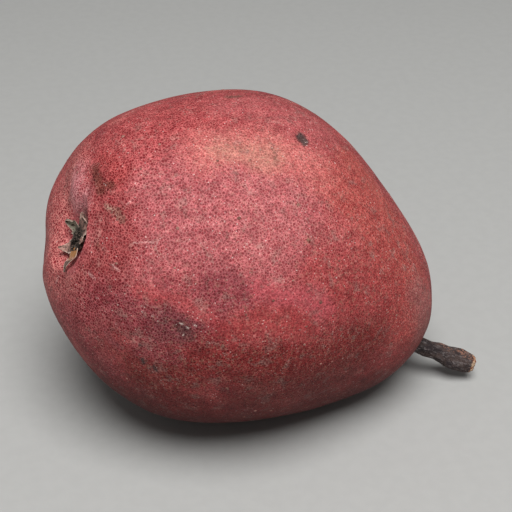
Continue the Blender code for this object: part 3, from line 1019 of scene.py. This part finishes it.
@dataclass
class Fruit:
    """The pear's body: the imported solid, smoothed and given its fine relief.

    A dent is a pixel of the photograph, how far the dent reaches and its depth,
    which is below 0 where the skin swells.
    """

    smoothing: int = 2
    wave_mm: float = 9.0
    wave_height_mm: float = 0.30
    pore_mm: float = 2.2
    pore_height_mm: float = 0.06
    rim_deg: Span = (22.0, 30.0)
    above_floor_mm: Span = (0.1, 1.6)
    dents: tuple[tuple[Pixel, float, float], ...] = (
        ((302, 137), 1.7, 0.50), ((309, 240), 1.3, 0.20), ((183, 330), 3.6, 0.35),
        ((100, 186), 3.0, 0.25), ((247, 94), 2.2, 0.25), ((78, 199), 6.0, -0.8),
    )

    def build(self, view: PhotoView, land: Landmarks) -> tuple[bpy.types.Object, Skin]:
        """Makes the fruit.

        Args:
            view: where the photograph was taken from.
            land: the places of the calyx and the stem.

        Returns:
            The fruit and its surface.
        """
        obj = grown_copy("fruit", "pear_fruit")
        skin = Skin(obj.data, view)
        recipe = Recipe("skin_relief")
        wave = recipe.ask("Wave height", self.wave_height_mm)
        pore = recipe.ask("Pore height", self.pore_height_mm)
        angle = recipe.wire("GeometryNodeInputMeshEdgeAngle", output="Unsigned Angle")
        smooth = recipe.smoothed(self.smoothing, angle.between(*map(math.radians, self.rim_deg)))
        place = recipe.point()
        height = (recipe.noise(place, self.wave_mm, 1.0) - 0.5) * wave
        height = height + (recipe.noise(place, self.pore_mm) - 0.5) * pore
        for pixel, reach, depth in self.dents:
            height = height - place.distance(skin.under(pixel)).between(reach, 0.0) * depth
        height = height * place.dot(UP).between(*self.above_floor_mm)
        shaped = recipe.moved(smooth, recipe.outward(height))
        chart = SkinMap()
        recipe.serve(chart.lay(recipe, shaped, skin, land), SkinFinish().dress(chart, land, skin), obj)
        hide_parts("fruit")
        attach(obj, "root")
        return obj, skin


@dataclass(frozen=True)
class CorkFinish:
    """Dry corky specks on the skin."""

    dark: Colour = (0.180, 0.070, 0.052)
    light: Colour = (0.440, 0.215, 0.175)

    def dress(self) -> bpy.types.Material:
        """Paints the specks.

        Returns:
            The material.
        """
        paint = Paint("cork")
        clouds = paint.noise(paint.place, 0.5, 3.0, 0.6)
        each = paint.noise(paint.place, 6.0, 0.0)
        colour = paint.mix((clouds * 0.6 + each * 0.6).between(0.45, 0.75), self.dark, self.light)
        return paint.finish(colour, 0.75, clouds * 0.04, specular=0.3)


@dataclass
class Lenticels:
    """Small corky specks that stand a little proud of the skin."""

    per_square_metre: float = 15000.0
    apart_mm: float = 3.0
    smallest_mm: float = 0.16
    largest_mm: float = 0.42
    flatness: float = 0.30
    narrowest: float = 0.6
    segments: int = 9
    rings: int = 5
    bend_mm: Bend = (0.5, 0.07)
    seed: int = 21
    narrowing_seed: int = 5
    clear_of_calyx_mm: float = 13.0
    clear_of_stem_mm: float = 8.0
    clear_of_floor_mm: float = 2.0
    fade_mm: float = 1.0

    def build(self, fruit: bpy.types.Object, land: Landmarks) -> bpy.types.Object:
        """Makes the specks.

        Args:
            fruit: the finished fruit.
            land: the places of the calyx and the stem.

        Returns:
            The specks as one piece.
        """
        obj = placed("skin_lenticels", fruit.data.copy())
        recipe = Recipe("lenticels")
        density = recipe.ask("Density", self.per_square_metre)
        apart = recipe.ask("Apart", self.apart_mm * MM)
        flatness = recipe.ask("Flatness", self.flatness)
        place = recipe.point()
        calyx, stem, floor = (away.between(clear, clear + self.fade_mm) for away, clear in (
            (place.distance(land.seat), self.clear_of_calyx_mm),
            (place.distance(land.stem.root), self.clear_of_stem_mm),
            (place.dot(UP), self.clear_of_floor_mm),
        ))
        inputs = {
            "Mesh": recipe.geometry(), "Distance Min": apart, "Density Max": density,
            "Density Factor": calyx * stem * floor, "Seed": self.seed,
        }
        strewn = recipe.add("GeometryNodeDistributePointsOnFaces", inputs, distribute_method="POISSON")
        points, rotation = (Wire(recipe, strewn.outputs[name]) for name in ("Points", "Rotation"))
        ball = {"Segments": self.segments, "Rings": self.rings, "Radius": MM}
        speck = recipe.wire("GeometryNodeMeshUVSphere", ball)
        draw = recipe.random(0.0, 1.0, self.seed + 1)
        size = self.smallest_mm + draw * draw * (self.largest_mm - self.smallest_mm)
        narrow = recipe.random(self.narrowest, 1.0, self.narrowing_seed)
        squash = recipe.wire("ShaderNodeCombineXYZ", {"X": 1.0, "Y": narrow, "Z": flatness})
        stood = recipe.stood(points, speck, rotation, squash * size)
        recipe.serve(recipe.bent(stood, *self.bend_mm), CorkFinish().dress(), obj)
        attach(obj, "root")
        return obj


@dataclass(frozen=True)
class BarkFinish:
    """The stem's dark bark, with pale scales, loose flakes on top that also paint light along its upper
    edge, and a pale broken end with painted shade in its middle.
    """

    dark: Colour = (0.028, 0.019, 0.020)
    brown: Colour = (0.072, 0.048, 0.043)
    scale: Patches = Patches((0.235, 0.200, 0.195), 0.62, (0.7, 0.3), (0.50, 0.66), 0.75, 4.0)
    # Flakes on the top side only: partly real loose flakes, partly painted light along the upper edge.
    flake_and_top_light: Patches = Patches((0.36, 0.175, 0.120), 0.55, (0.5, 0.2), (0.50, 0.58))
    wood: Colour = (0.60, 0.42, 0.28)
    torn: Colour = (0.30, 0.105, 0.050)
    # Where the painted shade of a hollow sits in the broken end, and how wide it is.
    hole_shade_rise_mm: float = 0.3
    hole_shade_mm: Span = (1.15, 0.6)

    def dress(self, stem: "Stem", line: StemLine) -> bpy.types.Material:
        """Paints the bark.

        Args:
            stem: the stem's sizes.
            line: where the stem runs.

        Returns:
            The material.
        """
        paint = Paint("bark")
        place = paint.place
        grain = line.drawn_out(place, stem.grain_draw)
        clouds = paint.noise(grain, 1.5, 4.0, 0.65)
        scales = self.scale.clouds(paint, grain)
        offset = place - line.root
        along = offset.dot(line.axis) / (line.end - line.root).length
        lean = offset.dot(line.upward) / (stem.root_radius_mm + along * stem.flare_mm)
        # Partly painted light: the flakes are kept to the stem's upper side.
        lit_top = (lean + (clouds - 0.5) * 0.4).between(0.74, 0.92)
        out = line.past_end(place) + (scales - 0.5) * 2.2 + lean * 0.45
        pale = paint.noise(place, 0.6, 3.0, 0.7).between(0.44, 0.58)
        # Painted shade: a dark spot in the middle of the broken end, where no hollow is modelled.
        hole_shade = place.distance(line.end + line.upward * self.hole_shade_rise_mm).between(*self.hole_shade_mm)
        wood = paint.coated(self.torn, (pale, self.wood), (hole_shade, self.dark))
        colour = paint.coated(
            self.dark,
            (clouds.between(0.40, 0.60), self.brown),
            (scales.between(*self.scale.levels) * 0.9, self.scale.colour),
            (self.flake_and_top_light.share(paint) * lit_top, self.flake_and_top_light.colour),
            (out.between(-0.75, -0.35) * 0.95, wood),
        )
        fine = paint.noise(place, 0.2, 3.0, 0.75)
        colour = colour * (0.36 + fine.between(0.25, 0.75) * 1.28)
        height = fine * 0.10 + scales.between(0.54, 0.66) * 0.10
        return paint.finish(colour, 0.70 + clouds * 0.2, height, specular=0.35)


@dataclass
class Stem:
    """The woody stalk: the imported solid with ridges, cracks and a torn end."""

    smoothing: int = 3
    grain_draw: float = 0.62
    root_radius_mm: float = 2.0
    flare_mm: float = 0.75
    ridge_mm: float = 1.4
    ridge_height_mm: float = 0.30
    scale_mm: float = 1.1
    crack_depth_mm: float = 0.16
    tear_mm: float = 0.9
    tear_height_mm: float = 0.9
    tear_depth_mm: float = 1.2
    socket_mm: Span = (3.4, 5.2)

    def build(self, line: StemLine) -> bpy.types.Object:
        """Makes the stem.

        Args:
            line: where the stem runs.

        Returns:
            The stem.
        """
        obj = grown_copy("stem", "pear_stem")
        recipe = Recipe("bark_relief")
        ridge = recipe.ask("Ridge height", self.ridge_height_mm)
        crack = recipe.ask("Crack depth", self.crack_depth_mm)
        tear = recipe.ask("Tear height", self.tear_height_mm)
        smooth = recipe.smoothed(self.smoothing)
        place = recipe.point()
        grain = line.drawn_out(place, self.grain_draw)
        height = (recipe.noise(grain, self.ridge_mm, 3.0, 0.55) - 0.5) * ridge
        seams = recipe.cells(recipe.stray(grain, 1.2, 0.3), self.scale_mm, "DISTANCE_TO_EDGE")
        height = height - seams.between(0.10, 0.0) * crack
        height = height * (place - line.root).dot(line.axis).between(*self.socket_mm)
        at_end = line.past_end(place).between(-self.tear_depth_mm, 0.0)
        torn = (recipe.noise(place, self.tear_mm) - 0.5) * tear * at_end
        offset = recipe.outward(height) + (torn * MM) * line.axis
        recipe.serve(recipe.moved(smooth, offset), BarkFinish().dress(self, line), obj)
        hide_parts("stem")
        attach(obj, "root")
        return obj


@dataclass(frozen=True)
class Sepal:
    """One dried sepal, about the calyx's centre.

    Turns are in degrees from the fruit's level side, and lengths in millimetres:
    how far the tip reaches, the widest half-width, how far the tip stands off
    the basin's wall, how far the edges curl and how far the last part hooks
    out. The roll turns the blade about its own line, most at the tip. The tint
    goes from -1 for ochre to 1 for moss. The taper is how soon the blade narrows.
    """

    root_turn: float
    tip_turn: float
    tip_reach: float
    half_width: float
    rise: float
    curl: float
    hook: float
    roll_deg: float
    tint: float
    taper: float


@dataclass(frozen=True)
class SepalFinish:
    """Dry leathery sepals: pale along the edges, dark at the tips, ochre at the root of one, with painted
    shade at their roots.
    """

    body: Colour = (0.440, 0.245, 0.200)
    # The dark of the dried tips, also used for painted shade at the roots.
    deep: Colour = (0.060, 0.040, 0.032)
    edge: Colour = (0.66, 0.50, 0.41)
    moss: Colour = (0.34, 0.325, 0.240)
    ochre: Colour = (0.44, 0.200, 0.075)

    def dress(self) -> bpy.types.Material:
        """Paints the sepals, by how far each point is across and along its blade.

        Returns:
            The material.
        """
        paint = Paint("dry_sepal")
        across, reach, tint = (paint.reading(name) for name in SEPAL_READINGS)
        clouds = paint.noise(paint.place, 0.8, 3.0, 0.6)
        fibre = paint.noise(paint.place, 0.2, 3.0, 0.7)
        golden = tint.between(-0.5, -1.0)
        rim = (abs(across) + (clouds - 0.5) * 0.35).between(0.72, 0.98)
        rim = rim * paint.noise(paint.place, 1.5, 1.0).between(0.36, 0.50)
        colour = paint.coated(
            self.deep,
            (clouds.between(0.36, 0.58), self.body),
            (tint.between(0.5, 1.0) * clouds.between(0.35, 0.55), self.moss),
            # Painted shade: each blade darkens towards its root, down in the basin.
            (reach.between(0.45, 0.12) * 0.85, self.deep),
            (golden * (reach + clouds * 0.3).between(0.75, 0.40) * (0.5 + fibre * 0.9), self.ochre),
            (golden * reach.between(0.50, 0.72) * 0.8, self.deep),
            (rim * 0.85, self.edge),
            (reach.between(0.84, 0.98) * (0.2 + golden * 0.5), self.deep),
        )
        colour = colour * (0.62 + fibre * 0.76)
        return paint.finish(colour, 0.78, fibre * 0.06 + clouds * 0.05, specular=0.3)


@dataclass(frozen=True)
class StamenFinish:
    """Dark shrivelled stamens and the cup round them."""

    dark: Colour = (0.022, 0.016, 0.013)
    light: Colour = (0.200, 0.150, 0.120)

    def dress(self) -> bpy.types.Material:
        """Paints the stamens and the cup.

        Returns:
            The material.
        """
        paint = Paint("dry_stamen")
        clouds = paint.noise(paint.place, 0.55, 3.0, 0.65)
        colour = paint.mix(clouds.between(0.46, 0.66), self.dark, self.light)
        return paint.finish(colour, 0.85, clouds * 0.08, specular=0.25)


@dataclass(frozen=True)
class Wrinkles:
    """Wrinkles on a dried piece, in millimetres, and how often its mesh is subdivided for them."""

    height_mm: float
    size_mm: float
    detail: float
    smoothing: int

    def serve(self, name: str, material: bpy.types.Material, target: bpy.types.Object) -> None:
        """Wrinkles an object and gives it its finish.

        Args:
            name: the tree's name.
            material: the finish.
            target: the object.
        """
        recipe = Recipe(name)
        height = recipe.ask("Wrinkle height", self.height_mm)
        smooth = recipe.smoothed(self.smoothing)
        wrinkle = (recipe.noise(recipe.point(), self.size_mm, self.detail) - 0.5) * height
        recipe.serve(recipe.moved(smooth, recipe.outward(wrinkle)), material, target)


@dataclass(frozen=True)
class Basin:
    """The fruit's basin as the calyx lies in it: a place there is a reach, a turn and a height.

    The reach is measured from the middle of the cup's floor and the height out
    of the basin, both in millimetres. The turn is in radians from the level side.
    """

    land: Landmarks
    skin: Skin
    outside_mm: float = 20.0

    def at(self, out: float, reach: float = 0.0, turn: float = 0.0) -> Vector:
        """Works out a point in metres.

        Args:
            out: its height.
            reach: its reach.
            turn: its turn.

        Returns:
            The point.
        """
        side, lift = reach * math.cos(turn), reach * math.sin(turn)
        way = self.land.side * side + self.land.lift * lift - self.land.core * out
        return self.land.seat * MM + way * MM

    def wall(self, reach: float, turn: float) -> float:
        """Returns the height at which the basin's wall stands over a place."""
        found = self.skin.facing(self.at(self.outside_mm, reach, turn), self.land.core)
        return (self.land.seat * MM - found).dot(self.land.core) / MM


@dataclass
class Calyx:
    """The dried calyx in its basin: sepals on the wall, a cup and stamens.

    Lengths are in millimetres. The feelers say how far ahead of each point a
    sepal's line looks for the wall, and the easing how often the line is
    smoothed.
    """

    basin: Basin
    sepals: tuple[Sepal, ...] = (
        Sepal(16.0, 8.0, 5.9, 1.50, 0.5, 0.85, 0.9, 40.0, 1.0, 0.6),
        Sepal(88.0, 99.0, 6.9, 2.90, 0.6, 0.30, 0.2, -24.0, 0.0, 0.9),
        Sepal(150.0, 150.0, 4.2, 0.70, 0.3, 0.20, 0.0, 0.0, 0.4, 0.7),
        Sepal(222.0, 224.0, 7.6, 1.70, 0.0, 0.30, 0.0, 30.0, -1.0, 1.5),
        Sepal(296.0, 302.0, 5.8, 1.90, 0.8, 0.30, 0.2, -12.0, 0.0, 1.1),
    )
    root_reach: float = 1.9
    steps: int = 30
    lanes: int = 13
    thickness: float = 0.34
    clearance: float = 0.75
    lowest: float = 1.2
    feelers: tuple[float, ...] = (-0.4, 0.0, 0.4, 0.8)
    easing: int = 4
    hook_from: float = 0.55
    tip_width: float = 0.10
    rib_height: float = 0.14
    rib_width: float = 0.16
    crinkle: float = 0.05
    sepal_wrinkles: Wrinkles = Wrinkles(0.10, 0.7, 2.0, 1)
    seed: int = 8
    cup_profile: tuple[tuple[float, float], ...] = (
        (0.0, 0.0), (2.0, 0.0), (2.7, 0.35), (2.95, 0.9), (2.75, 1.45), (2.3, 1.5), (1.9, 1.1), (0.0, 0.8),
    )
    cup_sides: int = 40
    cup_wrinkles: Wrinkles = Wrinkles(0.4, 0.8, 3.0, 2)
    stamen_count: int = 24
    stamen_length: float = 1.25
    stamen_radius: float = 0.12
    stamen_spread: float = 1.7
    stamen_foot: float = 0.7
    stamen_bend: Bend = (1.1, 0.75)
    stamen_sides: int = 7
    stamen_joints: int = 7

    def build(self) -> list[bpy.types.Object]:
        """Makes the calyx.

        Returns:
            Its pieces.
        """
        pieces = [self._build_sepals(), self._build_cup(), self._build_stamens()]
        for piece in pieces:
            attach(piece, "root")
        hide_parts("calyx")
        return pieces

    def _middle_line(self, sepal: Sepal) -> list[Vector]:
        """Works out the line down the middle of a sepal.

        Args:
            sepal: the sepal's sizes.

        Returns:
            The line's points, in metres.
        """
        line = []
        for step in range(self.steps):
            t = step / (self.steps - 1)
            turn = math.radians(sepal.root_turn + (sepal.tip_turn - sepal.root_turn) * t * t)
            reach = self.root_reach + (sepal.tip_reach - self.root_reach) * t
            wall = max(self.basin.wall(reach + ahead, turn) for ahead in self.feelers)
            hook = sepal.hook * max(0.0, (t - self.hook_from) / (1.0 - self.hook_from)) ** 2
            out = max(wall + self.clearance + sepal.rise * t * t + hook, self.lowest)
            line.append(self.basin.at(out, reach, turn))
        for _ in range(self.easing):
            inner = [(line[i - 1] + 2.0 * line[i] + line[i + 1]) / 4.0 for i in range(1, len(line) - 1)]
            line = [line[0], *inner, line[-1]]
        return line

    def _section(self, sepal: Sepal, t: float, waves: np.ndarray) -> list[tuple[float, float, float]]:
        """Works out a sepal's outline across its line, along the upper face and back along the lower.

        Args:
            sepal: the sepal's sizes.
            t: how far along the line, 0 to 1.
            waves: the phases of each edge's unevenness.

        Returns:
            Each point's share of the half-width, its place across and its height, in millimetres.
        """
        width = sepal.half_width * (1.0 - t) ** sepal.taper * (1.0 + 1.2 * t) + self.tip_width
        curl = sepal.curl * min(1.0, 2.5 * t)
        lanes = np.linspace(-1.0, 1.0, self.lanes)
        outline = []
        for half, row in ((0.5, lanes), (-0.5, lanes[::-1])):
            for p in row:
                edge = waves[0 if p < 0 else 1]
                ragged = 1.0 + 0.09 * math.sin(9.0 * t + edge[0]) + 0.06 * math.sin(23.0 * t + edge[1])
                body = self.thickness * (1.0 - 0.6 * p * p) * (1.0 - 0.35 * t)
                rib = self.rib_height * math.exp(-(p / self.rib_width) ** 2) * (1.0 - t)
                crinkle = self.crinkle * math.sin(14.0 * t + 5.0 * p + edge[2]) * min(1.0, 4.0 * t)
                rise = curl * p * p + crinkle + half * body + (rib if half > 0 else 0.0)
                outline.append((float(p), p * width * ragged, rise))
        return outline

    def _add_blade(self, work: bmesh.types.BMesh, sepal: Sepal, waves: np.ndarray) -> None:
        """Adds one sepal to the mesh being made.

        Args:
            work: the mesh, with a layer for each reading.
            sepal: the sepal's sizes.
            waves: the phases of its edges' unevenness.
        """
        layers = [work.verts.layers.float[name] for name in SEPAL_READINGS]
        line = self._middle_line(sepal)
        rings = []
        for step, centre in enumerate(line):
            t = step / (self.steps - 1)
            way = (line[min(step + 1, self.steps - 1)] - line[max(step - 1, 0)]).normalized()
            across = way.cross(-self.basin.land.core).normalized()
            face = across.cross(way)
            roll = math.radians(sepal.roll_deg) * t
            across, face = (
                across * math.cos(roll) + face * math.sin(roll),
                face * math.cos(roll) - across * math.sin(roll),
            )
            ring = []
            for p, aside, rise in self._section(sepal, t, waves):
                vertex = work.verts.new(centre + (across * aside + face * rise) * MM)
                for layer, reading in zip(layers, (p, t, sepal.tint)):
                    vertex[layer] = reading
                ring.append(vertex)
            rings.append(ring)
        bridge(work, rings)
        for ring in (rings[0][::-1], rings[-1]):
            for i in range(self.lanes - 1):
                work.faces.new((ring[i], ring[i + 1], ring[-i - 2], ring[-i - 1]))

    def _build_sepals(self) -> bpy.types.Object:
        """Makes the five sepals as one piece.

        Returns:
            The piece.
        """
        work = bmesh.new()
        for name in SEPAL_READINGS:
            work.verts.layers.float.new(name)
        draw = np.random.default_rng(self.seed)
        for sepal in self.sepals:
            self._add_blade(work, sepal, draw.uniform(0.0, 6.3, (2, 3)))
        bmesh.ops.recalc_face_normals(work, faces=work.faces)
        obj = new_object("calyx_sepals", work)
        self.sepal_wrinkles.serve("sepal_wrinkles", SepalFinish().dress(), obj)
        return obj

    def _build_cup(self) -> bpy.types.Object:
        """Makes the cup that holds the sepals together.

        Returns:
            The piece.
        """
        work = bmesh.new()
        turns = [2.0 * math.pi * i / self.cup_sides for i in range(self.cup_sides)]
        below, *sides, above = self.cup_profile
        rings = [[work.verts.new(self.basin.at(out, reach, turn)) for turn in turns] for reach, out in sides]
        bridge(work, rings)
        for ring, (reach, out) in ((rings[0][::-1], below), (rings[-1], above)):
            middle = work.verts.new(self.basin.at(out, reach))
            for i, corner in enumerate(ring):
                work.faces.new((middle, ring[i - 1], corner))
        bmesh.ops.recalc_face_normals(work, faces=work.faces)
        obj = new_object("calyx_cup", work)
        self.cup_wrinkles.serve("cup_wrinkles", StamenFinish().dress(), obj)
        return obj

    def _build_stamens(self) -> bpy.types.Object:
        """Makes the dried stamens as bent threads that rise from the cup.

        Returns:
            The piece.
        """
        land = self.basin.land
        obj = new_object("calyx_stamens", bmesh.new())
        recipe = Recipe("stamens")
        count = recipe.ask("Count", self.stamen_count, "NodeSocketInt")
        length = recipe.ask("Length", self.stamen_length)
        radius = recipe.ask("Radius", self.stamen_radius)
        spread = recipe.ask("Spread", self.stamen_spread)
        turn = recipe.random(0.0, 2.0 * math.pi, self.seed)
        far = recipe.random(0.05, 1.0, self.seed + 1)
        lean = recipe.random(0.1, 0.9, self.seed + 2)
        tall = recipe.random(0.55, 1.15, self.seed + 3) * length
        across = turn.sine() * land.side + turn.cosine() * land.lift
        foot = across * (far * spread * MM) + self.basin.at(self.stamen_foot)
        points = recipe.wire("GeometryNodePoints", {"Count": count, "Position": foot})
        way = across * (far * lean) - land.core
        turned = recipe.wire("FunctionNodeAlignRotationToVector", {"Vector": way}, axis="Z")
        thread = recipe.wire("GeometryNodeCurvePrimitiveLine", {"End": (0.0, 0.0, MM)})
        thread = recipe.wire("GeometryNodeResampleCurve", {"Curve": thread, "Count": self.stamen_joints})
        bent = recipe.bent(recipe.stood(points, thread, turned, tall), *self.stamen_bend)
        along = recipe.wire("GeometryNodeSplineParameter", output="Factor")
        swollen = {"Curve": bent, "Radius": 0.8 + along.between(0.6, 1.0)}
        bent = recipe.wire("GeometryNodeSetCurveRadius", swollen)
        circle = {"Resolution": self.stamen_sides, "Radius": radius * MM}
        ring = recipe.wire("GeometryNodeCurvePrimitiveCircle", circle)
        tube = {"Curve": bent, "Profile Curve": ring, "Fill Caps": True}
        recipe.serve(recipe.wire("GeometryNodeCurveToMesh", tube), StamenFinish().dress(), obj)
        return obj


@dataclass
class Studio:
    """A plain pale floor, soft light from above and the camera."""

    floor_radius: float = 3.0
    floor_sides: int = 64
    floor_drop: float = 0.02 * MM
    floor_colour: Colour = (0.50, 0.50, 0.485)
    floor_shade: float = 0.97
    light_azimuth_deg: float = -5.0
    light_elevation_deg: float = 68.0
    light_distance: float = 0.9
    light_size: float = 0.55
    light_watts: float = 8.2
    sky_strength: float = 0.14

    def build(self, view: PhotoView) -> None:
        """Makes the studio.

        Args:
            view: where the camera stands.
        """
        view.build()
        self._lay_floor()
        self._hang_light()
        world = bpy.data.worlds.new("studio")
        bpy.context.scene.world = world
        world.use_nodes = True
        background = world.node_tree.nodes["Background"]
        background.inputs["Color"].default_value = (*WHITE, 1.0)
        background.inputs["Strength"].default_value = self.sky_strength
        bpy.context.scene.view_settings.view_transform = "Standard"

    def _lay_floor(self) -> None:
        """Makes the floor."""
        work = bmesh.new()
        bmesh.ops.create_circle(work, cap_ends=True, segments=self.floor_sides, radius=self.floor_radius)
        bmesh.ops.translate(work, verts=work.verts, vec=(0.0, 0.0, -self.floor_drop))
        floor = new_object("floor", work)
        paint = Paint("floor_paper")
        grain = paint.noise(paint.place, 3.0, 3.0).between(0.3, 0.7)
        darker = tuple(self.floor_shade * part for part in self.floor_colour)
        floor.data.materials.append(paint.finish(paint.mix(grain, self.floor_colour, darker), 0.9))

    def _hang_light(self) -> None:
        """Makes the large soft light."""
        lamp = bpy.data.lights.new("soft_light", "AREA")
        lamp.shape = "DISK"
        lamp.size = self.light_size
        lamp.energy = self.light_watts
        back = toward(self.light_azimuth_deg, self.light_elevation_deg)
        aimed("soft_light", lamp, back * self.light_distance, back)


def main() -> None:
    """Builds the pear and its studio in order."""
    logging.basicConfig(level=logging.INFO, format="%(name)s: %(message)s")
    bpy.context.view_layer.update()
    view = PhotoView()
    Studio().build(view)
    land = Landmarks.measured()
    fruit, skin = Fruit().build(view, land)
    lenticels = Lenticels().build(fruit, land)
    stem = Stem().build(land.stem)
    for piece in (fruit, lenticels, stem, *Calyx(Basin(land, skin)).build()):
        LOG.info("%s has %d faces", piece.name, len(piece.data.polygons))


if __name__ == "__main__":
    main()
